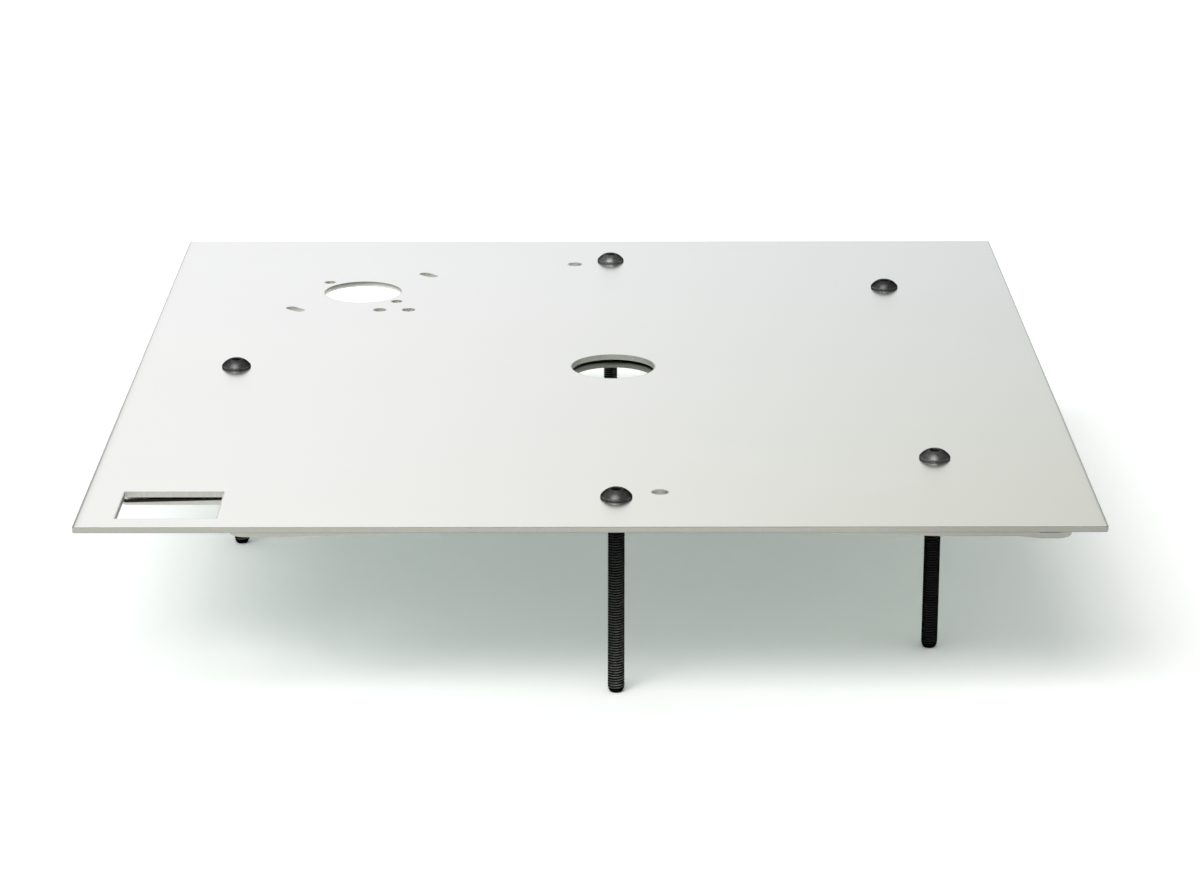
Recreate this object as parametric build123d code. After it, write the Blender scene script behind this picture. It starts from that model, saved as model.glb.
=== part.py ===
from build123d import *
import os
from math import cos, radians, sin, sqrt

# Record player top plate, in millimetres.
# The origin is the bearing hole's centre on the top face: +X right, +Y to the back, +Z up.

# Top sheet
plate_width = 291.5
plate_depth = 313.5
plate_thickness = 1.75
plate_corner_radius = 0.8
plate_edge_break = 0.15
bearing_from_left = 153.2
bearing_from_front = 155.8
bearing_hole_radius = 13.4

# Motor hole, its slots on one diagonal and its small holes on the other
motor_from_left = 67.2
motor_from_back = 68.3
motor_hole_radius = 13.2
motor_slot_reach = 30.8
motor_slot_length = 7.5
motor_slot_width = 3.4
motor_slot_angle = 45.0
motor_pin_hole_reach = 17.3
motor_pin_hole_radius = 1.8
lead_hole_radius = 2.1
lead_hole_spacing = 9.8
lead_hole_offset = 11.9
lead_holes_before_motor = 22.8

# Switch opening in the front left corner
switch_width = 28.7
switch_depth = 23.7
switch_from_left = 11.1
switch_from_front = 7.5

# Lower sheet
plate_gap = 1.0
stiffener_thickness = 1.75
stiffener_left_margin = 10.0
stiffener_right_margin = 9.3
stiffener_back_margin = 10.0
stiffener_front_margin = 4.4
stiffener_corner_radius = 5.0
stiffener_notch_radius = 3.0
stiffener_tip_radius = 1.5
switch_notch_back_room = 1.2
switch_notch_side_room = 3.4
recess_from_notch = 15.0
recess_from_lug = 18.7
recess_rise = 4.6
lug_width = 15.3
lug_slope = 6.0
lug_front_margin = 2.6
motor_opening_radius = 44.0

# Screws, placed from the top sheet's edges: three carry the suspension, two hold the brace
suspension_from_left = 31.7
suspension_from_right = 43.3
suspension_from_front = 61.3
suspension_from_back = 63.2
brace_from_front = 25.8
brace_from_back = 27.7
screw_radius = 2.5
screw_length = 60.0
screw_core_radius = 2.01
screw_tip_radius = 1.65
screw_tip_height = 1.3
head_radius = 4.65
head_height = 2.6
head_rim_height = 0.55
head_flat_radius = 2.1
socket_across_flats = 3.0
socket_depth = 1.7
socket_drill_height = 0.35

# Locating holes, to one side of each brace screw and a little nearer the bearing
brace_hole_radius = 2.4
brace_hole_side = 12.7
brace_hole_inset = 4.5

# Spacer washers and nuts
washer_radius = 5.0
nut_across_flats = 8.0
nut_height = 4.0
nut_bore_radius = 2.067
nut_corner_drop = 0.5
nut_mouth_chamfer = 0.55

# Clearances round a screw, and past each end of its nut
plate_hole_clearance = 0.25
washer_clearance = 0.15
nut_end_clearance = 0.2

# Places that follow from the sizes above
plate_left = -bearing_from_left
plate_right = plate_left + plate_width
plate_front = -bearing_from_front
plate_back = plate_front + plate_depth
motor_x = plate_left + motor_from_left
motor_y = plate_back - motor_from_back
switch_left = plate_left + switch_from_left
switch_right = switch_left + switch_width
switch_front = plate_front + switch_from_front
switch_back = switch_front + switch_depth
stiffener_top = -plate_thickness - plate_gap
stiffener_bottom = stiffener_top - stiffener_thickness
suspension_left = plate_left + suspension_from_left
suspension_right = plate_right - suspension_from_right
suspension_front = plate_front + suspension_from_front
suspension_back = plate_back - suspension_from_back
brace_front = plate_front + brace_from_front
brace_back = plate_back - brace_from_back
plate_hole_radius = screw_radius + plate_hole_clearance

# Each screw: name, place, and how far its socket and nut are turned
SCREWS = [
    ("suspension_screw_left", "left", suspension_left, 0.0, 24.0),
    ("suspension_screw_rear_right", "rear_right", suspension_right, suspension_back, 8.0),
    ("suspension_screw_front_right", "front_right", suspension_right, suspension_front, 41.0),
    ("brace_screw_rear", "rear", 0.0, brace_back, 15.0),
    ("brace_screw_front", "front", 0.0, brace_front, 33.0),
]


def sheet(profile, top, thickness):
    """A flat sheet of the given outline, with its upper face at height top."""
    return Pos(0, 0, top - thickness) * extrude(profile, thickness)


def round_holes(places, radius):
    """Discs at the given places, to be taken out of an outline."""
    return [Pos(x, y) * Circle(radius) for x, y in places]


def screw_places():
    return [(x, y) for _, _, x, y, _ in SCREWS]


def brace_hole_places():
    rear = (-brace_hole_side, brace_back - brace_hole_inset)
    front = (brace_hole_side, brace_front + brace_hole_inset)
    return [rear, front]


def motor_slots():
    """Two slots on one diagonal of the motor hole, each square to that diagonal."""
    slots = []
    for turn in (motor_slot_angle, motor_slot_angle + 180):
        x = motor_x + motor_slot_reach * cos(radians(turn))
        y = motor_y + motor_slot_reach * sin(radians(turn))
        slots.append(Pos(x, y) * Rot(0, 0, turn + 90) * SlotOverall(motor_slot_length, motor_slot_width))
    return slots


def motor_pin_places():
    """Two small holes at the motor hole's rim, on the other diagonal."""
    places = []
    for turn in (motor_slot_angle + 90, motor_slot_angle + 270):
        x = motor_x + motor_pin_hole_reach * cos(radians(turn))
        y = motor_y + motor_pin_hole_reach * sin(radians(turn))
        places.append((x, y))
    return places


def lead_hole_places():
    """A pair of small holes in front of the motor hole."""
    middle = motor_x + lead_hole_offset
    y = motor_y - lead_holes_before_motor
    return [(middle - lead_hole_spacing / 2, y), (middle + lead_hole_spacing / 2, y)]


def top_plate():
    centre = Pos((plate_left + plate_right) / 2, (plate_front + plate_back) / 2)
    outline = centre * RectangleRounded(plate_width, plate_depth, plate_corner_radius)
    blank = sheet(outline, 0, plate_thickness)
    rims = blank.faces().sort_by(Axis.Z)[-1].edges() + blank.faces().sort_by(Axis.Z)[0].edges()
    blank = chamfer(rims, plate_edge_break)
    switch_centre = Pos((switch_left + switch_right) / 2, (switch_front + switch_back) / 2)
    cuts = [switch_centre * Rectangle(switch_width, switch_depth)]
    cuts += round_holes([(0, 0)], bearing_hole_radius)
    cuts += round_holes([(motor_x, motor_y)], motor_hole_radius)
    cuts += motor_slots()
    cuts += round_holes(motor_pin_places(), motor_pin_hole_radius)
    cuts += round_holes(lead_hole_places(), lead_hole_radius)
    cuts += round_holes(brace_hole_places(), brace_hole_radius)
    cuts += round_holes(screw_places(), plate_hole_radius)
    for cut in cuts:
        blank -= sheet(cut, 0, plate_thickness)
    return blank


def stiffener_outline():
    """The lower sheet: a corner is cut away at the switch opening, and a lug stands at the front right."""
    left = plate_left + stiffener_left_margin
    right = plate_right - stiffener_right_margin
    back = plate_back - stiffener_back_margin
    front = plate_front + stiffener_front_margin
    lug_front = plate_front + lug_front_margin
    notch_right = switch_right + switch_notch_side_room
    notch_back = switch_back + switch_notch_back_room
    lug_left = right - lug_width
    corners = [
        ((left, notch_back), stiffener_tip_radius),
        ((notch_right, notch_back), stiffener_notch_radius),
        ((notch_right, front), stiffener_corner_radius),
        ((lug_left, front), 0),
        ((lug_left + lug_slope, lug_front), 0),
        ((right, lug_front), stiffener_corner_radius),
        ((right, back), stiffener_corner_radius),
        ((left, back), stiffener_corner_radius),
    ]
    points = [point for point, _ in corners]
    radii = [radius for _, radius in corners]
    outline = make_face(FilletPolyline(*points, radius=radii, close=True))
    # The front edge between the notch and the lug is hollowed by one long arc
    recess_left = notch_right + recess_from_notch
    recess_right = lug_left - recess_from_lug
    recess_half = (recess_right - recess_left) / 2
    recess_radius = (recess_half**2 + recess_rise**2) / (2 * recess_rise)
    recess_centre = Pos((recess_left + recess_right) / 2, front + recess_rise - recess_radius)
    return outline - recess_centre * Circle(recess_radius)


def stiffener_plate():
    plate = sheet(stiffener_outline(), stiffener_top, stiffener_thickness)
    cuts = round_holes([(0, 0)], bearing_hole_radius)
    cuts += round_holes([(motor_x, motor_y)], motor_opening_radius)
    cuts += round_holes(brace_hole_places(), brace_hole_radius)
    cuts += round_holes(screw_places(), plate_hole_radius)
    for cut in cuts:
        plate -= sheet(cut, stiffener_top, stiffener_thickness)
    return plate


def screw():
    """A button head screw that hangs from the plane under its head.

    The thread is a plain cylinder of its outer radius, and of its core radius where the nut sits.
    """
    # The head's dome is part of a sphere through the rim and the edge of the flat top
    rise = head_height - head_rim_height
    above = (head_radius**2 - head_flat_radius**2 - rise**2) / (2 * rise)
    dome_radius = sqrt(head_radius**2 + above**2)
    middle_radius = (head_radius + head_flat_radius) / 2
    middle = (middle_radius, head_rim_height - above + sqrt(dome_radius**2 - middle_radius**2))
    rim_top = (head_radius, head_rim_height)
    flat_edge = (head_flat_radius, head_height)
    core_top = stiffener_bottom + nut_end_clearance
    core_bottom = stiffener_bottom - nut_height - nut_end_clearance
    dome = ThreePointArc(flat_edge, middle, rim_top)
    under = Polyline(
        rim_top,
        (head_radius, 0),
        (screw_radius, 0),
        (screw_radius, core_top),
        (screw_core_radius, core_top),
        (screw_core_radius, core_bottom),
        (screw_radius, core_bottom),
        (screw_radius, -screw_length + screw_tip_height),
        (screw_tip_radius, -screw_length),
        (0, -screw_length),
        (0, head_height),
        flat_edge,
    )
    body = revolve(Plane.XZ * make_face([dome, under]), Axis.Z)
    hexagon = RegularPolygon(socket_across_flats / 2, 6, major_radius=False)
    socket = Pos(0, 0, head_height - socket_depth) * extrude(hexagon, socket_depth)
    drill_mouth = Plane.XY.offset(head_height - socket_depth)
    drill_radius = socket_across_flats / 2
    drill = drill_mouth * Pos(0, 0, -socket_drill_height / 2) * Cone(0, drill_radius, socket_drill_height)
    return body - socket - drill


def spacer_washer():
    """A flat washer that fills the gap between the sheets."""
    ring = Circle(washer_radius) - Circle(screw_radius + washer_clearance)
    return sheet(ring, -plate_thickness, plate_gap)


def nut():
    """A hexagon nut under the lower sheet, its corners turned off on both faces."""
    corner_radius = nut_across_flats / sqrt(3)
    corner_chamfer = corner_radius - nut_across_flats / 2
    blank = extrude(RegularPolygon(nut_across_flats / 2, 6, major_radius=False), nut_height)
    turned = Pos(0, 0, nut_height / 2) * Cylinder(corner_radius, nut_height)
    turned = chamfer(turned.edges(), nut_corner_drop, corner_chamfer)
    bore = Pos(0, 0, nut_height / 2) * Cylinder(nut_bore_radius, nut_height)
    blank = (blank & turned) - bore
    circles = blank.edges().filter_by(GeomType.CIRCLE)
    mouths = circles.filter_by(lambda edge: edge.radius < screw_radius)
    blank = chamfer(mouths, nut_mouth_chamfer)
    return Pos(0, 0, stiffener_bottom - nut_height) * blank


def build():
    parts = {"top_plate": top_plate(), "stiffener_plate": stiffener_plate()}
    for name, place, x, y, turn in SCREWS:
        seat = Pos(x, y, 0) * Rot(0, 0, turn)
        parts[name] = seat * screw()
        parts["spacer_washer_" + place] = seat * spacer_washer()
        parts["nut_" + place] = seat * nut()
    return parts


def main():
    os.makedirs("parts", exist_ok=True)
    for name, shape in build().items():
        export_step(shape, f"parts/{name}.step")


if __name__ == "__main__":
    main()
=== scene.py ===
import math

import bmesh
import bpy
from mathutils import Matrix, Vector


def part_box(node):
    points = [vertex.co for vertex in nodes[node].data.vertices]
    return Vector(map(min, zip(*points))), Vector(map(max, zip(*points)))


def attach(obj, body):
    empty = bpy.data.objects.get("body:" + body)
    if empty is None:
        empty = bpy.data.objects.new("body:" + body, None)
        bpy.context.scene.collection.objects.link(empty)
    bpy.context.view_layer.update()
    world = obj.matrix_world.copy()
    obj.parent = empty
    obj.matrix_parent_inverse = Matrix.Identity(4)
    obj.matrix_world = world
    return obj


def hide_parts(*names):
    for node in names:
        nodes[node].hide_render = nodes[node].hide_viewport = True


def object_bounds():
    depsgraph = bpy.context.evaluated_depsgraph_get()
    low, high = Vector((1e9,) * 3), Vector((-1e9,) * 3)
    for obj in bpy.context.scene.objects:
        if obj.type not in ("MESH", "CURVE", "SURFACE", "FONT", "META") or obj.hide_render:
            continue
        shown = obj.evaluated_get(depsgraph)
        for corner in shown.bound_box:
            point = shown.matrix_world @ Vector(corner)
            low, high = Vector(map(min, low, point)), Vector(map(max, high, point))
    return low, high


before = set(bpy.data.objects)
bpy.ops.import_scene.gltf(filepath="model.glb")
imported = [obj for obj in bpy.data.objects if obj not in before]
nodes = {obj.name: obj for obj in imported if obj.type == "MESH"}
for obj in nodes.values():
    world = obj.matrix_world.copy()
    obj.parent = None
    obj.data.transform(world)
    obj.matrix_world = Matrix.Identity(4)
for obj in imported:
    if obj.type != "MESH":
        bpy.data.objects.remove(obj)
cad_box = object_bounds()
MM = 0.001
WHITE = (1.0, 1.0, 1.0)

# The camera, fitted to the picture's frame of 1200 by 893
CAMERA_PLACE = (-8.09 * MM, -1095.97 * MM, 331.72 * MM)
CAMERA_LENS = 106.43
CAMERA_SENSOR = 36.0
CAMERA_YAW = 0.2012
CAMERA_PITCH = 18.1348
CAMERA_NEAR = 0.01
CAMERA_FAR = 50.0

# Below, a span is a low place and a high one. Where it has four numbers, the last two are the values there.
# Three numbers for a noise are its cells in a millimetre along each axis. A relief is a strength and a depth

# The sky, which lights the floor alone, by coordinates of a direction. Its low part is green
SKY_HEIGHT = (0.0, 1.0, 0.78, 0.58)
SKY_ACROSS = (-1.0, 1.0, 1.25, 0.72)
SKY_TINT_ACROSS = (-0.5, 0.5)
SKY_TINT_HEIGHTS = (0.16, 0.60)
SKY_TINTS = ((0.67, 1.0, 0.92), (0.83, 1.0, 0.81))

# The key lights' names, the directions that they come from and their powers
KEY_LIGHTS = [
    ("key_light_left", (-0.480, -0.535, 0.74), 0.81),
    ("key_light_right", (-0.120, -0.535, 0.74), 0.77),
]
KEY_LIGHT_SPREAD = 27.0
KEY_LIGHT_COLOUR = (1.0, 0.958, 0.972)

# The studio that gloss sees, by coordinates of a direction
GLOSS_ACROSS = (-0.14, 0.28, 1.01, 0.60)
GLOSS_BACK = (-0.40, 0.20, 0.80, 1.0)
GLOSS_TINT_ACROSS = (-0.10, 0.22)
GLOSS_TINT_HEIGHTS = (0.26, 0.33)
GLOSS_TINT_TOP = (0.45, 0.70)
GLOSS_TINT_LEFT = (0.985, 0.985, 0.995)
GLOSS_TINT_LOW = (1.02, 1.065, 1.09)
GLOSS_TINT_HIGH = (0.975, 0.98, 0.895)
GLOSS_TINT_OVERHEAD = (1.0, 1.0, 0.98)
SOFT_BOX_TOWARDS = (-0.16, -0.42, 0.90)
SOFT_BOX_ANGLES = (8.0, 24.0)
SOFT_BOX_STRENGTH = 7.5

# The floor in metres, and its paper: its own colours, and those that the camera and gloss see. Behind the
# sheets, painted light makes the camera see it whiter
FLOOR_HALF_WIDTH = 4.0
PAPER = ((0.915, 0.940, 0.930), (0.925, 0.950, 0.940))
PAPER_SEEN = ((1.157, 1.165, 1.160), (1.177, 1.185, 1.180))
PAPER_IN_GLOSS = ((1.390, 1.410, 1.400), (1.410, 1.430, 1.420))
PAPER_PAINTED_BACKLIGHT = (130.0, 200.0, 1.0, 1.4)
PAPER_GRAIN = (0.9, 0.9, 0.9)
PAPER_RELIEF = (0.1, 0.05)

# An M5 screw, in millimetres. The screw hangs from z = 0, the plane under its head. Along one pitch of its
# thread come the root, a flank, the crest and a flank again
THREAD_PITCH = 0.8
THREAD_ROOT_RADIUS = 2.02
THREAD_ROOT_END = 0.15
THREAD_CREST_RADIUS = 2.49
THREAD_CREST_START = 0.42
THREAD_CREST_END = 0.50
THREAD_CORNER_RADIAL = 0.03
THREAD_CORNER_AXIAL = 0.035
THREAD_SEGMENTS = 36
THREAD_SPARE_TURNS = 4
SCREW_LENGTH = 60.0
TIP_RADIUS = 1.65
TIP_HEIGHT = 1.9
TIP_BULGE = 0.8
NECK_RADIUS = 2.24
NECK_LENGTH = 2.2
NECK_CHAMFER = 0.1
NECK_OVERLAP = 0.4
CORE_BOTTOM = 8.3
HEAD_SEGMENTS = 96
HEAD_RADIUS = 4.65
HEAD_HEIGHT = 2.6
HEAD_RIM_HEIGHT = 0.55
HEAD_RIM_ROUNDING = 0.16
HEAD_RIM_DRAFT = 0.002
HEAD_RIM_STEPS = 4
HEAD_UNDERCUT = 0.22
HEAD_CROWN_STEPS = 14
HEAD_FLAT_RADIUS = 2.1
HEAD_FLAT_CHAMFER = 0.10
# The dome's arc stops this many degrees short of the rim and of the flat, so that its corners catch the light
HEAD_CORNERS = (1.6, 1.2)
SOCKET_ACROSS_FLATS = 3.0
SOCKET_DEPTH = 1.7
SOCKET_DRILL_INSET = 0.02
SOCKET_DRILL_DROP = 0.01
SOCKET_DRILL_HEIGHT = 0.35
# The socket's rounded mouth: how much wider it is at each depth
SOCKET_MOUTH = [(0.0, 0.22), (0.06, 0.06), (0.16, 0.0)]

# The circles where the head's flat and its socket's mouth are most worn, and how far the wear reaches there,
# from the rim and down from the top. On a thread it starts this far up the flank
FLAT_WEAR_RADIUS = HEAD_FLAT_RADIUS - 0.05
FLAT_WEAR = 0.22
MOUTH_WEAR_RADIUS = SOCKET_ACROSS_FLATS / 2 + 0.2
MOUTH_WEAR = 0.3
RIM_WEAR = 0.35
TOP_WEAR_DEPTH = 0.2
FLANK_WEAR_START = 0.5

# Each screw's CAD node, how far its socket is turned in degrees and what its head's colour is multiplied by,
# a painted light and shade that sets each head's brightness
SCREWS = [
    ("suspension_screw_left", 24.0, 0.85),
    ("suspension_screw_rear_right", 8.0, 0.62),
    ("suspension_screw_front_right", 41.0, 1.12),
    ("brace_screw_rear", 15.0, 1.40),
    ("brace_screw_front", 33.0, 0.82),
]

# The black oxide. The shades are the head's and the shank's, and the colour changes between two heights. On
# the screws the shank's far darker shade is painted shade, for the shadow under the sheets and in the
# thread's grooves
HEAD_LEVEL = (-1.5, -0.5)
OXIDE_GRAIN = (9.0, 9.0, 9.0)
OXIDE_MOTTLE = (1.3, 1.3, 1.3)
OXIDE_GRAIN_RELIEF = (0.35, 0.02)
OXIDE_MOTTLE_RELIEF = (0.3, 0.06)
OXIDE_ROUGHNESS = (0.5, 1.0, 0.30, 0.44)
OXIDE_PATCH = (0.35, 0.7)
OXIDE_PATCH_BRIGHTNESS = 1.7
OXIDE_SCUFFS = (0.25, 0.62, 0.1, 1.0)
OXIDE_SPECKS = (0.60, 0.80)
SCREW_HEAD_AND_PAINTED_SHANK_SHADE = ((0.058, 0.059, 0.059), (0.0042, 0.0042, 0.0044))
SCREW_DUST = 0.35
SHANK_DUST_SHARE = 0.3
NUT_SHADES = ((0.04, 0.04, 0.041), (0.04, 0.04, 0.041))
NUT_DUST = 0.4
OXIDE_GLOSS = (0.20, 0.20, 0.20)
DUST_COLOUR = (0.22, 0.215, 0.205)
# Bare metal on the worn edges. On the shank's crests it is also a painted highlight
BARE_METAL_AND_GLINT = (0.35, 0.355, 0.348)
BARE_AND_GLINT_SHARE = 0.6
CREST_WEAR = (0.22, 0.5, 0.0, 0.85)
# Where the shank's crests carry a painted highlight: strongest low down and at the left
SHANK_PAINTED_GLINT = (-55.0, -8.0, 1.05, 0.22)
SHANK_PAINTED_GLINT_ACROSS = (20.0, 80.0, 1.0, 0.2)
HEAD_RUBBED = 0.7
NUT_EDGE_WIDTH = 0.12
NUT_EDGE_LEAN = (0.80, 0.97)

# The zinc plate
ZINC_GRAIN = (6.0, 6.0, 6.0)
ZINC_CLOUDS = (0.8, 0.8, 0.8)
ZINC_COLOURS = ((0.55, 0.56, 0.58), (0.70, 0.71, 0.72))
ZINC_RELIEF = (0.3, 0.02)
ZINC_ROUGHNESS = (0.3, 0.7, 0.26, 0.40)

# The sheets, in millimetres. Each sheet's colour at the left and the right, in front and behind, a painted
# reflection of the studio
TOP_PAINTED_TINTS = (
    ((0.900, 0.900, 0.862), (0.900, 0.900, 0.897)),
    ((0.888, 0.891, 0.828), (0.930, 0.945, 0.945)),
)
LOWER_PAINTED_TINTS = (((0.86, 0.86, 0.84), (0.86, 0.86, 0.85)), ((0.85, 0.85, 0.83), (0.86, 0.865, 0.85)))
PAINTED_TINTS_BACK = (-150.0, 130.0)
PAINTED_TINTS_ACROSS = (-70.0, 110.0)
BRUSH_FINE = (0.012, 5.0, 1.0)
BRUSH_STROKES = (0.03, 1.3, 1.0)
BRUSH_FINE_SHARE = 0.65
BRUSH_CONTRAST = (0.35, 0.65, 0.993, 1.007)
FACE_RELIEF = (0.08, 0.008)
FACE_ROUGHNESS = (0.5, 0.9, 0.19, 0.25)
CLOUDS = (0.011, 0.022, 0.02)
CLOUD_REACH = (0.3, 0.7)
CLOUD_COLOUR = (0.62, 0.63, 0.60)
CLOUD_SHARE = 0.03
CLOUD_ROUGHNESS = 0.4

# A face's rims lean over, and the shears pressed its sides down. Their darkening is painted shade: a dark
# core and a faint halo, with the strength of each at the left and at the right
RIM_WIDTH = 0.75
RIM_SIDEWAYS = (0.02, 0.55, 0.0, 1.0)
RIM_LENGTHWAYS = (0.10, 0.70, 0.0, 0.35)
RIM_SHADE_COLOUR = (0.36, 0.36, 0.34)
ROLLOVER_SHADE_COLOUR = (0.04, 0.04, 0.035)
ROLLOVER_SHADE_CORE = (0.45, 0.90, 1.0, 0.0)
ROLLOVER_SHADE_CORE_SIDES = (0.50, 0.30)
ROLLOVER_SHADE_HALO = (0.50, 2.40, 1.0, 0.0)
ROLLOVER_SHADE_HALO_SIDES = (0.17, 0.06)
ROLLOVER_SHADE_BACK = (-150.0, 60.0, 1.0, 0.25)

# The cut edges, told from the faces by how upright their normal is. The front ones are darker, with painted
# light along them: lightest at the left and shaded at the right end
CUT_UPRIGHT = (0.75, 0.90)
SLOPE_UPRIGHT = (0.4, 0.6)
CUT_STREAKS = (7.0, 7.0, 0.35)
CUT_STREAK_REACH = (0.35, 0.65)
CUT_RELIEF = (0.6, 0.05)
CUT_ROUGHNESS = (0.3, 0.7, 0.42, 0.55)
CUT_COLOURS = ((0.41, 0.405, 0.37), (0.54, 0.535, 0.49))
# Painted shade on the sloping chamfers
SLOPE_PAINTED_SHADE = (0.14, 0.138, 0.125)
FRONT_CUTS = (-130.0, -129.0)
FRONT_COLOURS = ((0.28, 0.275, 0.245), (0.42, 0.415, 0.38))
FRONT_PAINTED_LIGHT = (-125.0, 60.0, 1.15, 1.06)
FRONT_END_PAINTED_SHADE = (70.0, 105.0, 1.0, 0.85)

# The two small holes whose walls are painted light: their places and how bright the walls are
HOLES_PAINTED_LIGHT = [(12.7, -125.5, 0.82), (-12.7, 125.5, 0.95)]
HOLE_PAINTED_LIGHT_TINT = (1.0, 0.99, 0.957)
HOLE_PAINTED_LIGHT_REACH = (4.6, 5.4)

# The motor hole's wall, from its lower side to its upper one. The small holes round it have lighter walls
MOTOR_HOLE = (-86.0, 89.4)
MOTOR_HOLE_REACH = (14.0, 15.0)
MOTOR_WALL_HEIGHTS = (-1.5, -0.2)
MOTOR_WALL_COLOURS = ((0.78, 0.78, 0.75), (0.24, 0.24, 0.22))
NEAR_MOTOR = (40.0, 45.0, 1.30, 1.0)

# The bearing hole's wall in the lower sheet is painted darker as shade, and its back has a painted shadow of
# the gap between the sheets at its upper side
BEARING_HOLE_REACH = (14.5, 16.0)
HOLE_SHADE_SHARE = 0.9
HOLE_SHADE_HEIGHTS = (-4.5, -2.75, 0.75, 1.0)
HOLE_SHADE_COLOUR = (0.10, 0.105, 0.085)
HOLE_GAP_SHADOW_ASIDE = (1.0, 11.5, -3.22, -2.45)
HOLE_GAP_SHADOW_SOFTNESS = 0.45
HOLE_GAP_SHADOW_BEHIND = (0.0, 4.0)
HOLE_GAP_SHADOW_COLOUR = (0.026, 0.027, 0.016)

# The lower sheet's cut behind the switch opening has a painted shadow of the gap between the sheets at its
# upper side, most of all at the left
SWITCH_BACK = -123.4
SWITCH_BACK_REACH = (2.0, 4.0)
SWITCH_RIGHT_END = (-112.0, -109.0)
SWITCH_GAP_SHADOW_ACROSS = (-142.0, -113.0, -3.75, -3.05)
SWITCH_GAP_SHADOW_SOFTNESS = 0.12
SWITCH_GAP_SHADOW_COLOUR = (0.022, 0.018, 0.013)


# Node helpers

class NodeTree:
    """A node tree, with short calls to add and link nodes."""

    def __init__(self, tree):
        self.tree = tree
        self.tree.nodes.clear()

    def add(self, kind, **settings):
        node = self.tree.nodes.new(kind)
        for key, value in settings.items():
            setattr(node, key, value)
        return node

    def link(self, source, target):
        self.tree.links.new(source, target)

    def feed(self, socket, value):
        """Links an output to a socket, or sets the socket to a plain value."""
        if isinstance(value, bpy.types.NodeSocket):
            self.link(value, socket)
        elif value is not None:
            socket.default_value = value

    def math(self, operation, a, b=None, clamp=False):
        node = self.add("ShaderNodeMath", operation=operation, use_clamp=clamp)
        for socket, value in zip(node.inputs, (a, b)):
            self.feed(socket, value)
        return node.outputs[0]

    def times(self, first, *others):
        """The product of some values."""
        product = first
        for value in others:
            product = self.math("MULTIPLY", product, value)
        return product

    def separate(self, vector):
        node = self.add("ShaderNodeSeparateXYZ")
        self.link(vector, node.inputs[0])
        return node.outputs

    def position(self, scale=(1.0, 1.0, 1.0)):
        """Object coordinates in millimetres, scaled along each axis."""
        coordinates = self.add("ShaderNodeTexCoord")
        mapping = self.add("ShaderNodeMapping")
        mapping.inputs["Scale"].default_value = [s / MM for s in scale]
        self.link(coordinates.outputs["Object"], mapping.inputs["Vector"])
        return mapping.outputs[0]

    def off_axis(self, x, y):
        """The distance in millimetres from an upright axis."""
        node = self.add("ShaderNodeVectorMath", operation="DISTANCE")
        self.link(self.position((1.0, 1.0, 0.0)), node.inputs[0])
        node.inputs[1].default_value = (x, y, 0.0)
        return node.outputs["Value"]

    def dot(self, a, b):
        node = self.add("ShaderNodeVectorMath", operation="DOT_PRODUCT")
        self.feed(node.inputs[0], a)
        self.feed(node.inputs[1], b)
        return node.outputs["Value"]

    def noise(self, scale=(1.0, 1.0, 1.0), detail=2.0, roughness=0.5):
        """Noise with a grain of 1 mm divided by the scale along each axis."""
        node = self.add("ShaderNodeTexNoise")
        self.link(self.position(scale), node.inputs["Vector"])
        node.inputs["Scale"].default_value = 1.0
        node.inputs["Detail"].default_value = detail
        node.inputs["Roughness"].default_value = roughness
        return node.outputs[0]

    def span(self, value, low, high, out_low, out_high, smooth=False):
        node = self.add("ShaderNodeMapRange")
        node.interpolation_type = "SMOOTHSTEP" if smooth else "LINEAR"
        for key, number in (("From Min", low), ("From Max", high), ("To Min", out_low), ("To Max", out_high)):
            self.feed(node.inputs[key], number)
        self.link(value, node.inputs["Value"])
        return node.outputs[0]

    def attribute(self, name):
        return self.add("ShaderNodeAttribute", attribute_name=name).outputs["Fac"]

    def mix(self, factor, a, b, blend="MIX"):
        node = self.add("ShaderNodeMix", data_type="RGBA", blend_type=blend)
        self.feed(node.inputs[0], factor)
        for socket, value in ((node.inputs[6], a), (node.inputs[7], b)):
            self.feed(socket, (*value, 1.0) if isinstance(value, tuple) else value)
        return node.outputs[2]

    def scaled(self, colour, factor):
        """A colour times a value."""
        return self.mix(1.0, colour, factor, "MULTIPLY")

    def mix_value(self, factor, a, b):
        node = self.add("ShaderNodeMix", data_type="FLOAT")
        for socket, value in zip(node.inputs[:1] + node.inputs[2:4], (factor, a, b)):
            self.feed(socket, value)
        return node.outputs[0]

    def first_gloss(self, rays):
        """1 for what is seen in gloss, 0 for light that a diffuse surface gathers on its way."""
        gathered = self.math("MINIMUM", rays.outputs["Diffuse Depth"], 1.0)
        return self.times(rays.outputs["Is Glossy Ray"], self.math("SUBTRACT", 1.0, gathered))

    def seen(self, rays):
        """1 for what the camera sees, also through something clear."""
        return self.math("MAXIMUM", rays.outputs["Is Camera Ray"], rays.outputs["Is Transmission Ray"])

    def bevel(self, radius, samples):
        """The normal, rounded over the edges by a radius in millimetres."""
        node = self.add("ShaderNodeBevel", samples=samples)
        node.inputs["Radius"].default_value = radius * MM
        return node.outputs[0]

    def true_normal(self):
        return self.add("ShaderNodeNewGeometry").outputs["True Normal"]

    def bump(self, height, strength, distance, below=None):
        node = self.add("ShaderNodeBump")
        node.inputs["Strength"].default_value = strength
        node.inputs["Distance"].default_value = distance * MM
        self.link(height, node.inputs["Height"])
        if below is not None:
            self.link(below, node.inputs["Normal"])
        return node.outputs[0]


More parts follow.
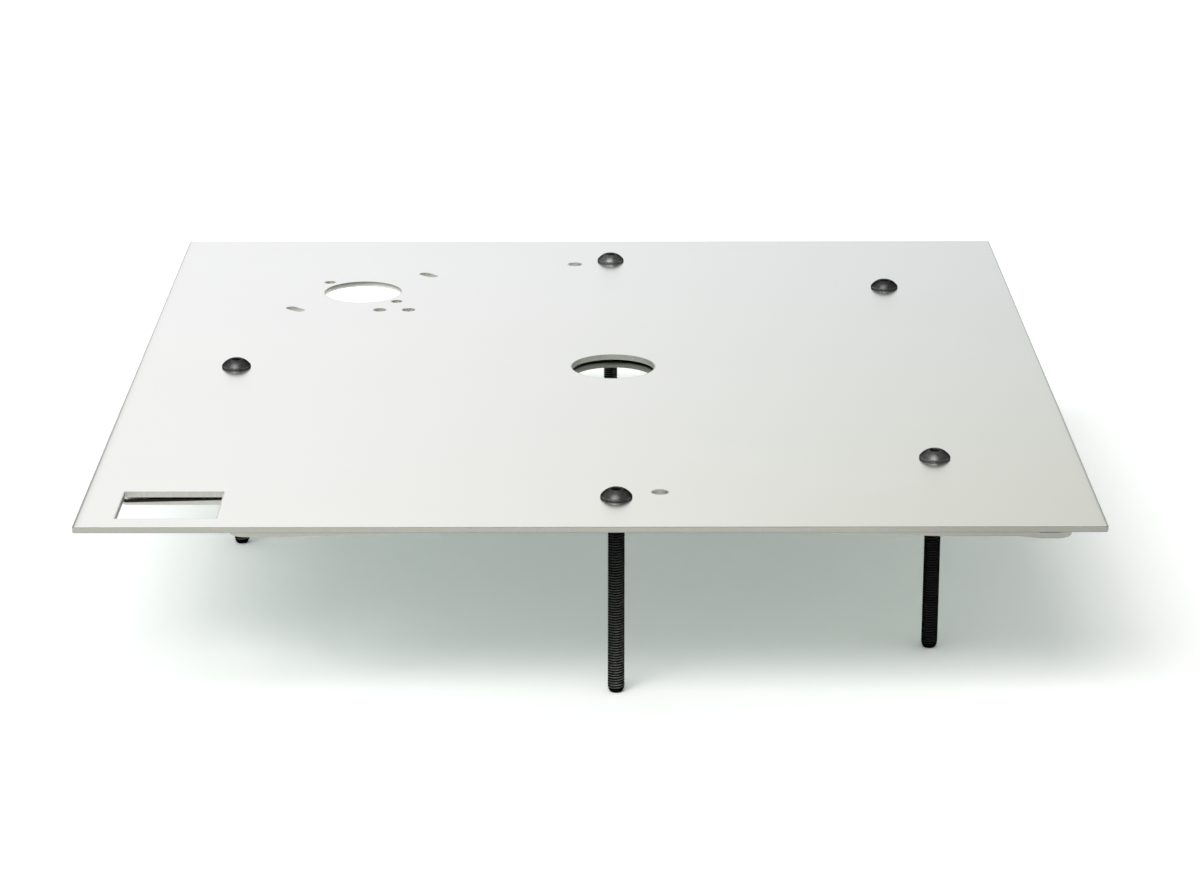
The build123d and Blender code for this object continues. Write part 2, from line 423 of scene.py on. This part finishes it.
class Material(NodeTree):
    """A material's node tree, with its output."""

    def __init__(self, name):
        self.material = bpy.data.materials.new(name)
        self.material.use_nodes = True
        super().__init__(self.material.node_tree)
        self.output = self.add("ShaderNodeOutputMaterial")

    def principled(self, **values):
        node = self.add("ShaderNodeBsdfPrincipled")
        for key, value in values.items():
            name = key.replace("_", " ")
            if isinstance(value, tuple):
                value = (*value, 1.0)
            self.feed(node.inputs[name], value)
        self.link(node.outputs[0], self.output.inputs["Surface"])


# Materials

def face_colour(tree, place, shades, grain, clouds):
    """The brushed face with a painted reflection: a little warmer in front and cooler behind, most of all on
    the right.
    """
    # A painted reflection: the face's tint changes from front to back and from left to right
    behind = tree.span(place["Y"], *PAINTED_TINTS_BACK, 0.0, 1.0)
    rightward = tree.span(place["X"], *PAINTED_TINTS_ACROSS, 0.0, 1.0)
    left, right = (tree.mix(behind, *pair) for pair in shades)
    shade = tree.mix(rightward, left, right)
    brushed = tree.scaled(shade, tree.span(grain, *BRUSH_CONTRAST))
    cloudy = tree.mix(tree.span(clouds, *CLOUD_REACH, 0.0, 1.0, smooth=True), CLOUD_COLOUR, WHITE)
    return tree.mix(CLOUD_SHARE, brushed, cloudy)


def rims_with_painted_shade(tree, place, colour):
    """A face's colour with painted shade: darker where its rims lean over, most of all to the sides, and in
    bands along its left and right sides that fade behind.
    """
    lean = tree.separate(tree.bevel(RIM_WIDTH, samples=4))
    sideways = tree.span(tree.math("ABSOLUTE", lean["X"]), *RIM_SIDEWAYS)
    lengthways = tree.span(tree.math("ABSOLUTE", lean["Y"]), *RIM_LENGTHWAYS)
    # Painted shade where the rims lean over
    rim_shaded = tree.mix(tree.math("MAXIMUM", sideways, lengthways), colour, RIM_SHADE_COLOUR)

    left, right = (corner.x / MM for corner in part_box("top_plate"))
    off_middle = tree.math("ABSOLUTE", tree.math("SUBTRACT", place["X"], (left + right) / 2))
    inward = tree.math("SUBTRACT", (right - left) / 2, off_middle)
    on_right = tree.math("GREATER_THAN", place["X"], 0.0)
    core = tree.times(tree.span(inward, *ROLLOVER_SHADE_CORE), tree.mix_value(on_right, *ROLLOVER_SHADE_CORE_SIDES))
    halo = tree.times(tree.span(inward, *ROLLOVER_SHADE_HALO), tree.mix_value(on_right, *ROLLOVER_SHADE_HALO_SIDES))
    # Painted shade in bands along the left and right sides
    rollover_shade = tree.times(tree.math("ADD", core, halo), tree.span(place["Y"], *ROLLOVER_SHADE_BACK))
    return tree.mix(rollover_shade, rim_shaded, ROLLOVER_SHADE_COLOUR)


def cut_colour(tree, place, streaks):
    """The cut edges of both sheets, in front, in the small holes and round the motor hole."""
    colour = tree.mix(tree.span(streaks, *CUT_STREAK_REACH, 0.0, 1.0), *CUT_COLOURS)
    # Painted light along the front edges: lightest at the left, shaded at the right end
    along = tree.times(tree.span(place["X"], *FRONT_PAINTED_LIGHT), tree.span(place["X"], *FRONT_END_PAINTED_SHADE))
    front_colour = tree.scaled(tree.mix(streaks, *FRONT_COLOURS), along)
    colour = tree.mix(tree.span(place["Y"], *FRONT_CUTS, 1.0, 0.0), colour, front_colour)
    # Painted light on two small holes' walls
    for x, y, brightness in HOLES_PAINTED_LIGHT:
        inside = tree.span(tree.off_axis(x, y), *HOLE_PAINTED_LIGHT_REACH, 1.0, 0.0)
        colour = tree.mix(inside, colour, tuple(brightness * part for part in HOLE_PAINTED_LIGHT_TINT))
    off_motor = tree.off_axis(*MOTOR_HOLE)
    colour = tree.scaled(colour, tree.span(off_motor, *NEAR_MOTOR))
    motor_wall = tree.mix(tree.span(place["Z"], *MOTOR_WALL_HEIGHTS, 0.0, 1.0), *MOTOR_WALL_COLOURS)
    return tree.mix(tree.span(off_motor, *MOTOR_HOLE_REACH, 1.0, 0.0), colour, motor_wall)


def above(tree, place, limit, softness):
    """1 above a height that varies, 0 below it."""
    return tree.span(tree.math("SUBTRACT", place["Z"], limit), -softness, softness, 0.0, 1.0)


def lower_cut_colour(tree, place, colour):
    """The lower sheet's walls with painted shade in the bearing hole, and a painted shadow of the gap between
    the sheets along their upper side.
    """
    off_middle = tree.off_axis(0.0, 0.0)
    in_hole = tree.span(off_middle, *BEARING_HOLE_REACH, 1.0, 0.0)
    # Painted shade on the bearing hole's wall
    hole_shade = tree.times(in_hole, HOLE_SHADE_SHARE, tree.span(place["Z"], *HOLE_SHADE_HEIGHTS))
    colour = tree.mix(hole_shade, colour, HOLE_SHADE_COLOUR)
    # A painted shadow of the gap between the sheets, at the upper side of the hole's back wall
    limit = tree.span(tree.math("ABSOLUTE", place["X"]), *HOLE_GAP_SHADOW_ASIDE)
    behind = tree.span(place["Y"], *HOLE_GAP_SHADOW_BEHIND, 0.0, 1.0)
    gap_shadow = tree.times(above(tree, place, limit, HOLE_GAP_SHADOW_SOFTNESS), in_hole, behind)
    colour = tree.mix(gap_shadow, colour, HOLE_GAP_SHADOW_COLOUR)

    # A painted shadow of the gap between the sheets behind the switch opening
    limit = tree.span(place["X"], *SWITCH_GAP_SHADOW_ACROSS)
    off_back = tree.math("ABSOLUTE", tree.math("SUBTRACT", place["Y"], SWITCH_BACK))
    at_back = tree.span(off_back, *SWITCH_BACK_REACH, 1.0, 0.0)
    before_end = tree.span(place["X"], *SWITCH_RIGHT_END, 1.0, 0.0)
    gap_shadow = tree.times(above(tree, place, limit, SWITCH_GAP_SHADOW_SOFTNESS), at_back, before_end)
    return tree.mix(gap_shadow, colour, SWITCH_GAP_SHADOW_COLOUR)


def stainless(name, shades, is_lower=False):
    """Sheet steel brushed along X, with duller cut edges, and painted shade on the rims where the cutting
    rolled them.
    """
    tree = Material(name)
    fine = tree.noise(BRUSH_FINE, 3.0, 0.65)
    strokes = tree.noise(BRUSH_STROKES)
    clouds = tree.noise(CLOUDS)
    streaks = tree.noise(CUT_STREAKS, 2.0, 0.6)
    grain = tree.mix_value(BRUSH_FINE_SHARE, strokes, fine)
    place = tree.separate(tree.position())
    face = rims_with_painted_shade(tree, place, face_colour(tree, place, shades, grain, clouds))
    cut = cut_colour(tree, place, streaks)
    if is_lower:
        cut = lower_cut_colour(tree, place, cut)

    # A cut edge is seen where the face's own normal lies flat or slopes
    upright = tree.math("ABSOLUTE", tree.separate(tree.true_normal())["Z"])
    is_edge = tree.span(upright, *CUT_UPRIGHT, 1.0, 0.0)
    slope = tree.times(is_edge, tree.span(upright, *SLOPE_UPRIGHT, 0.0, 1.0))
    # The sloping chamfers are painted dark, a painted shade that dims their glint from the soft box
    colour = tree.mix(is_edge, face, tree.mix(slope, cut, SLOPE_PAINTED_SHADE))

    cloudy_grain = tree.math("ADD", grain, tree.times(clouds, CLOUD_ROUGHNESS))
    face_roughness = tree.span(cloudy_grain, *FACE_ROUGHNESS)
    cut_roughness = tree.span(streaks, *CUT_ROUGHNESS)
    roughness = tree.mix_value(is_edge, face_roughness, cut_roughness)
    brushed = tree.bump(tree.times(grain, tree.math("SUBTRACT", 1.0, is_edge)), *FACE_RELIEF)
    relief = tree.bump(tree.times(streaks, is_edge), *CUT_RELIEF, brushed)
    tree.principled(Base_Color=colour, Metallic=1.0, Roughness=roughness, Normal=relief)
    return tree.material


def black_oxide(name, shades, dust, by_bevel=False):
    """Dark oxide on steel: a fine grain, small scuffs, and a little bare metal on the sharp edges. On the
    shank the bare crests are also a painted highlight, the shank's darker shade is painted shade, and each
    screw head's brightness is painted light and shade.
    """
    tree = Material(name)
    head_shade, shank_shade = shades
    grain = tree.noise(OXIDE_GRAIN, 3.0, 0.6)
    mottle = tree.noise(OXIDE_MOTTLE, 3.0, 0.6)
    place = tree.separate(tree.position())
    is_head = tree.span(place["Z"], *HEAD_LEVEL, 0.0, 1.0)
    # On the screws the shank is painted far darker than the head: painted shade
    shade = tree.mix(is_head, shank_shade, head_shade)
    brightness = OXIDE_PATCH_BRIGHTNESS
    patches = (tuple(part * brightness for part in colour) for colour in (shank_shade, head_shade))
    base = tree.mix(tree.span(mottle, *OXIDE_PATCH, 0.0, 1.0), shade, tree.mix(is_head, *patches))
    if by_bevel:
        leaning = tree.dot(tree.bevel(NUT_EDGE_WIDTH, samples=6), tree.true_normal())
        exposed = tree.span(leaning, *NUT_EDGE_LEAN, 1.0, 0.0)
    else:
        # A thread rubs bare at its crests alone
        # Each head's colour times its own painted brightness: painted light and shade
        base = tree.scaled(base, tree.attribute("shade"))
        exposed = tree.attribute("wear_and_glint")
        exposed = tree.mix_value(is_head, tree.span(exposed, *CREST_WEAR), exposed)
    # On the shank, the bare crests are also a painted highlight, strongest low down and at the left
    head_rub_and_shank_glint = tree.times(tree.span(place["Z"], *SHANK_PAINTED_GLINT), tree.span(place["X"], *SHANK_PAINTED_GLINT_ACROSS))
    head_rub_and_shank_glint = tree.math("MAXIMUM", head_rub_and_shank_glint, tree.times(is_head, HEAD_RUBBED))
    patchy = tree.times(exposed, tree.span(mottle, *OXIDE_SCUFFS))
    wear_and_glint = tree.math("MULTIPLY", patchy, head_rub_and_shank_glint, clamp=True)
    specks = tree.span(grain, *OXIDE_SPECKS, 0.0, dust)
    dusty = tree.mix(tree.times(specks, tree.mix_value(is_head, SHANK_DUST_SHARE, 1.0)), base, DUST_COLOUR)
    colour = tree.mix(tree.times(wear_and_glint, BARE_AND_GLINT_SHARE), dusty, BARE_METAL_AND_GLINT)
    roughness = tree.span(tree.math("ADD", mottle, tree.times(grain, 0.5)), *OXIDE_ROUGHNESS)
    relief = tree.bump(grain, *OXIDE_GRAIN_RELIEF, tree.bump(mottle, *OXIDE_MOTTLE_RELIEF))
    tree.principled(
        Base_Color=colour, Metallic=1.0, Roughness=roughness, Normal=relief, Specular_Tint=OXIDE_GLOSS
    )
    return tree.material


def zinc(name):
    """Plain zinc plate: bright, slightly blue, with a fine grain."""
    tree = Material(name)
    grain = tree.noise(ZINC_GRAIN, 3.0, 0.6)
    clouds = tree.noise(ZINC_CLOUDS)
    colour = tree.mix(tree.span(clouds, 0.3, 0.7, 0.0, 1.0), *ZINC_COLOURS)
    roughness = tree.span(grain, *ZINC_ROUGHNESS)
    relief = tree.bump(grain, *ZINC_RELIEF)
    tree.principled(Base_Color=colour, Metallic=1.0, Roughness=roughness, Normal=relief)
    return tree.material


def floor_paper(name):
    """White paper that the camera and gloss see much whiter than it lights, the camera most of all behind the
    sheets, where painted light lifts their shadow.
    """
    tree = Material(name)
    fibres = tree.noise(PAPER_GRAIN, 3.0, 0.6)
    shade = tree.span(fibres, 0.3, 0.7, 0.0, 1.0)
    rays = tree.add("ShaderNodeLightPath")
    gathered = tree.mix(tree.first_gloss(rays), tree.mix(shade, *PAPER), tree.mix(shade, *PAPER_IN_GLOSS))
    # Painted light behind the sheets, which lifts their shadow
    painted_backlight = tree.span(tree.separate(tree.position())["Y"], *PAPER_PAINTED_BACKLIGHT, smooth=True)
    white = tree.scaled(tree.mix(shade, *PAPER_SEEN), painted_backlight)
    diffuse = tree.add("ShaderNodeBsdfDiffuse")
    tree.link(tree.mix(tree.seen(rays), gathered, white), diffuse.inputs["Color"])
    tree.link(tree.bump(fibres, *PAPER_RELIEF), diffuse.inputs["Normal"])
    tree.link(diffuse.outputs[0], tree.output.inputs["Surface"])
    return tree.material


# Mesh helpers

def mesh_object(name, points, faces, material, sharp_angle=32.0):
    mesh = bpy.data.meshes.new(name)
    mesh.from_pydata([Vector(p) * MM for p in points], [], faces)
    mesh.validate()
    mesh.update()
    mesh.materials.append(material)
    mesh.shade_smooth()
    mesh.set_sharp_from_angle(angle=math.radians(sharp_angle))
    piece = bpy.data.objects.new(name, mesh)
    bpy.context.scene.collection.objects.link(piece)
    return piece


def ring(radius, z, count):
    """Points of a level circle, or of any outline when radius is a function of the angle."""
    points = []
    for k in range(count):
        angle = 2 * math.pi * k / count
        reach = radius(angle) if callable(radius) else radius
        points.append((reach * math.cos(angle), reach * math.sin(angle), z))
    return points


def loft(rings, close_high):
    """Quads between rings of equal count, closed with a level fan at the first and a cone at the last."""
    points = [p for level in rings for p in level]
    count = len(rings[0])
    faces = []
    for level in range(len(rings) - 1):
        low, high = level * count, (level + 1) * count
        for k in range(count):
            after = (k + 1) % count
            faces.append((low + k, low + after, high + after, high + k))
    middle = len(points)
    points.append((0.0, 0.0, rings[0][0][2]))
    faces += [((k + 1) % count, k, middle) for k in range(count)]
    middle = len(points)
    points.append((0.0, 0.0, close_high))
    last = (len(rings) - 1) * count
    faces += [(last + k, last + (k + 1) % count, middle) for k in range(count)]
    return points, faces


def arc(centre, radius, start, end, steps):
    """Points (r, z) along an arc, from one angle to the other in degrees."""
    found = []
    for k in range(steps + 1):
        angle = math.radians(start + (end - start) * k / steps)
        found.append((centre[0] + radius * math.cos(angle), centre[1] + radius * math.sin(angle)))
    return found


# Screws

def head_profile():
    """(r, z) up the outside of the button head, from its underside to the edge of its flat top."""
    rise = HEAD_HEIGHT - HEAD_RIM_HEIGHT
    above_centre = (HEAD_RADIUS**2 - HEAD_FLAT_RADIUS**2 - rise**2) / (2 * rise)
    dome = math.hypot(HEAD_RADIUS, above_centre)
    centre_z = HEAD_RIM_HEIGHT - above_centre
    start = math.degrees(math.atan2(above_centre, HEAD_RADIUS))
    end = math.degrees(math.atan2(HEAD_HEIGHT - centre_z, HEAD_FLAT_RADIUS))
    rounding = HEAD_RIM_ROUNDING
    under = [(NECK_RADIUS, 0.0), (HEAD_RADIUS - HEAD_UNDERCUT, 0.0)]
    rim = arc((HEAD_RADIUS - rounding, rounding), rounding, -75, 0, HEAD_RIM_STEPS)
    side = [(HEAD_RADIUS - HEAD_RIM_DRAFT, HEAD_RIM_HEIGHT - rounding)]
    crown = arc((0.0, centre_z), dome, start + HEAD_CORNERS[0], end - HEAD_CORNERS[1], HEAD_CROWN_STEPS)
    flat = [(HEAD_FLAT_RADIUS - HEAD_FLAT_CHAMFER, HEAD_HEIGHT)]
    return under + rim + side + crown + flat


def hexagon(across_flats):
    """The hexagon's radius as a function of angle, with a corner at angle 0."""
    def reach(angle):
        off = (angle % (math.pi / 3)) - math.pi / 6
        return across_flats / 2 / math.cos(off)
    return reach


def screw_head():
    """The head with its hexagon socket, and a short neck that runs into the thread."""
    count = HEAD_SEGMENTS
    rings = [ring(NECK_RADIUS - NECK_CHAMFER, -NECK_LENGTH, count)]
    rings.append(ring(NECK_RADIUS, -NECK_LENGTH + NECK_CHAMFER, count))
    rings += [ring(r, z, count) for r, z in head_profile()]
    for depth, wider in SOCKET_MOUTH:
        rings.append(ring(hexagon(SOCKET_ACROSS_FLATS + wider), HEAD_HEIGHT - depth, count))
    floor = HEAD_HEIGHT - SOCKET_DEPTH
    rings.append(ring(hexagon(SOCKET_ACROSS_FLATS), floor, count))
    # The drill's cone starts a little below the floor's corners
    drill_radius = SOCKET_ACROSS_FLATS / 2 - SOCKET_DRILL_INSET
    rings.append(ring(drill_radius, floor - SOCKET_DRILL_DROP, count))
    return loft(rings, floor - SOCKET_DRILL_HEIGHT)


def thread_limit(z):
    """How far out the screw may reach at a height: the rounded tip, and its core alone from the nut up."""
    up = z + SCREW_LENGTH
    if up < TIP_HEIGHT:
        share = max(0.0, up) / TIP_HEIGHT
        return TIP_RADIUS + (THREAD_CREST_RADIUS - TIP_RADIUS) * math.sin(share * math.pi / 2) ** TIP_BULGE
    if z > -CORE_BOTTOM:
        return THREAD_ROOT_RADIUS
    return THREAD_CREST_RADIUS


def thread_profile():
    """(r, z) along one pitch of the thread, up to where its last flank meets the next root."""
    shoulder = THREAD_CREST_RADIUS - THREAD_CORNER_RADIAL
    return [
        (THREAD_ROOT_RADIUS, 0.0),
        (THREAD_ROOT_RADIUS, THREAD_ROOT_END),
        (shoulder, THREAD_CREST_START - THREAD_CORNER_AXIAL),
        (THREAD_CREST_RADIUS, THREAD_CREST_START),
        (THREAD_CREST_RADIUS, THREAD_CREST_END),
        (shoulder, THREAD_CREST_END + THREAD_CORNER_AXIAL),
    ]


def screw_thread():
    """A right-hand thread as one helical strip, cut level and closed at its two ends."""
    profile = thread_profile()
    low, high = -SCREW_LENGTH, -NECK_LENGTH + NECK_OVERLAP
    stations = int(((high - low) / THREAD_PITCH + THREAD_SPARE_TURNS) * THREAD_SEGMENTS)
    strip = bmesh.new()
    grid = []
    for s in range(stations):
        angle = 2 * math.pi * s / THREAD_SEGMENTS
        base = low + THREAD_PITCH * (s / THREAD_SEGMENTS - THREAD_SPARE_TURNS / 2)
        grid.append([
            strip.verts.new((reach * math.cos(angle), reach * math.sin(angle), base + along))
            for reach, along in profile
        ])
    for s in range(stations - 1):
        for j in range(len(profile) - 1):
            strip.faces.new((grid[s][j], grid[s + 1][j], grid[s + 1][j + 1], grid[s][j + 1]))
        if s + THREAD_SEGMENTS + 1 < stations:
            upper = s + THREAD_SEGMENTS
            strip.faces.new((grid[s][-1], grid[s + 1][-1], grid[upper + 1][0], grid[upper][0]))
    for height, outward in ((low, -1), (high, 1)):
        everything = strip.verts[:] + strip.edges[:] + strip.faces[:]
        cut = {"plane_co": (0, 0, height), "plane_no": (0, 0, outward), "clear_outer": True}
        bmesh.ops.bisect_plane(strip, geom=everything, dist=1e-5, **cut)
    for vertex in strip.verts:
        reach = math.hypot(vertex.co.x, vertex.co.y)
        limit = thread_limit(vertex.co.z)
        if reach > limit:
            vertex.co.x *= limit / reach
            vertex.co.y *= limit / reach
    bmesh.ops.remove_doubles(strip, verts=strip.verts[:], dist=0.002)
    open_edges = [edge for edge in strip.edges if edge.is_boundary]
    bmesh.ops.edgeloop_fill(strip, edges=open_edges)
    bmesh.ops.recalc_face_normals(strip, faces=strip.faces[:])
    strip.verts.ensure_lookup_table()
    points = [tuple(vertex.co) for vertex in strip.verts]
    faces = [tuple(vertex.index for vertex in face.verts) for face in strip.faces]
    strip.free()
    return points, faces


def wear_of(point):
    """How exposed a point of the screw is: the thread's crests and the head's edges rub bare."""
    reach, z = math.hypot(point[0], point[1]), point[2]
    if z < -NECK_LENGTH:
        up_flank = (reach - THREAD_ROOT_RADIUS) / (THREAD_CREST_RADIUS - THREAD_ROOT_RADIUS)
        return max(0.0, min(1.0, up_flank - FLANK_WEAR_START))
    if z > HEAD_HEIGHT - TOP_WEAR_DEPTH:
        flat_edge = 1.0 - min(1.0, abs(reach - FLAT_WEAR_RADIUS) / FLAT_WEAR)
        mouth = 1.0 - min(1.0, abs(reach - MOUTH_WEAR_RADIUS) / MOUTH_WEAR)
        return max(flat_edge, mouth)
    return 1.0 - min(1.0, math.hypot(reach - HEAD_RADIUS, z - HEAD_RIM_HEIGHT) / RIM_WEAR)


def add_attribute(piece, name, values):
    piece.data.attributes.new(name, "FLOAT", "POINT").data.foreach_set("value", values)


def build_screws():
    material = black_oxide("black_screw", SCREW_HEAD_AND_PAINTED_SHANK_SHADE, SCREW_DUST)
    head = screw_head()
    thread = screw_thread()
    points = head[0] + thread[0]
    faces = head[1] + [tuple(index + len(head[0]) for index in face) for face in thread[1]]
    for node, turn, shade in SCREWS:
        low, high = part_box(node)
        axis = Vector(((low.x + high.x) / 2 / MM, (low.y + high.y) / 2 / MM, 0.0))
        spin = Matrix.Rotation(math.radians(turn), 4, "Z")
        placed = [spin @ Vector(point) + axis for point in points]
        piece = mesh_object(node + "_threaded", placed, faces, material)
        add_attribute(piece, "wear_and_glint", [wear_of(point) for point in points])
        # Each head's painted brightness, a painted light and shade
        add_attribute(piece, "shade", [shade if point[2] > -NECK_LENGTH else 1.0 for point in points])
        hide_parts(node)
        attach(piece, "root")


def dress_cad_nodes():
    sheets = {
        "top_plate": stainless("brushed_top_sheet", TOP_PAINTED_TINTS),
        "stiffener_plate": stainless("brushed_lower_sheet", LOWER_PAINTED_TINTS, is_lower=True),
    }
    nuts = black_oxide("black_nut", NUT_SHADES, NUT_DUST, by_bevel=True)
    washers = zinc("zinc_washer")
    for name, piece in nodes.items():
        if name in sheets:
            material = sheets[name]
        elif name.startswith("nut_"):
            material = nuts
        elif name.startswith("spacer_washer_"):
            material = washers
        else:
            continue
        piece.data.materials.clear()
        piece.data.materials.append(material)


# Stage

def build_floor():
    half = FLOOR_HALF_WIDTH
    low = cad_box[0].z
    mesh = bpy.data.meshes.new("floor")
    corners = [(-half, -half, low), (half, -half, low), (half, half, low), (-half, half, low)]
    mesh.from_pydata(corners, [], [(0, 1, 2, 3)])
    mesh.materials.append(floor_paper("white_paper"))
    floor = bpy.data.objects.new("floor", mesh)
    bpy.context.scene.collection.objects.link(floor)


def build_sun(name, towards, power):
    """A broad soft light from one side, the same over the whole floor."""
    lamp = bpy.data.lights.new(name, "SUN")
    lamp.energy = power
    lamp.angle = math.radians(KEY_LIGHT_SPREAD)
    lamp.color = KEY_LIGHT_COLOUR
    holder = bpy.data.objects.new(name, lamp)
    holder.rotation_euler = Vector(towards).to_track_quat("Z", "Y").to_euler()
    holder.visible_glossy = False
    bpy.context.scene.collection.objects.link(holder)


def build_world():
    """A white studio. Gloss sees a white backdrop, a dimmer room in front and a soft box overhead."""
    world = bpy.data.worlds.new("studio")
    world.use_nodes = True
    tree = NodeTree(world.node_tree)
    output = tree.add("ShaderNodeOutputWorld")
    background = tree.add("ShaderNodeBackground")
    direction = tree.add("ShaderNodeTexCoord").outputs["Generated"]
    x, y, z = tree.separate(direction)
    rays = tree.add("ShaderNodeLightPath")
    in_gloss = tree.first_gloss(rays)
    seen = tree.seen(rays)

    sky = tree.times(tree.span(z, *SKY_HEIGHT), tree.span(x, *SKY_ACROSS))
    across = tree.span(x, *GLOSS_ACROSS, smooth=True)
    backdrop = tree.times(across, tree.span(y, *GLOSS_BACK, smooth=True))
    towards_box = tree.dot(direction, Vector(SOFT_BOX_TOWARDS).normalized())
    narrow, wide = (math.cos(math.radians(angle)) for angle in SOFT_BOX_ANGLES)
    soft_box = tree.span(towards_box, wide, narrow, 0.0, SOFT_BOX_STRENGTH, smooth=True)
    strength = tree.mix_value(in_gloss, sky, tree.math("ADD", backdrop, soft_box))
    tree.link(tree.mix_value(seen, strength, 1.0), background.inputs["Strength"])

    tint = tree.mix(tree.span(z, *GLOSS_TINT_HEIGHTS, 0.0, 1.0), GLOSS_TINT_LOW, GLOSS_TINT_HIGH)
    tint = tree.mix(tree.span(x, *GLOSS_TINT_ACROSS, 0.0, 1.0), GLOSS_TINT_LEFT, tint)
    tint = tree.mix(tree.span(z, *GLOSS_TINT_TOP, 0.0, 1.0), tint, GLOSS_TINT_OVERHEAD)
    sky_tint = tree.mix(tree.span(x, *SKY_TINT_ACROSS, 0.0, 1.0), *SKY_TINTS)
    sky_tint = tree.mix(tree.span(z, *SKY_TINT_HEIGHTS, 0.0, 1.0), sky_tint, WHITE)
    tree.link(tree.mix(seen, tree.mix(in_gloss, sky_tint, tint), WHITE), background.inputs["Color"])
    tree.link(background.outputs[0], output.inputs["Surface"])
    bpy.context.scene.world = world


def build_camera():
    camera = bpy.data.cameras.new("camera")
    camera.lens = CAMERA_LENS
    camera.sensor_width = CAMERA_SENSOR
    camera.sensor_fit = "HORIZONTAL"
    camera.clip_start = CAMERA_NEAR
    camera.clip_end = CAMERA_FAR
    holder = bpy.data.objects.new("camera", camera)
    holder.location = CAMERA_PLACE
    holder.rotation_euler = (math.radians(90.0 - CAMERA_PITCH), 0.0, math.radians(-CAMERA_YAW))
    bpy.context.scene.collection.objects.link(holder)
    bpy.context.scene.camera = holder


scene = bpy.context.scene
scene.view_settings.view_transform = "Standard"
build_camera()
build_world()
build_floor()
for name, towards, power in KEY_LIGHTS:
    build_sun(name, towards, power)
dress_cad_nodes()
build_screws()
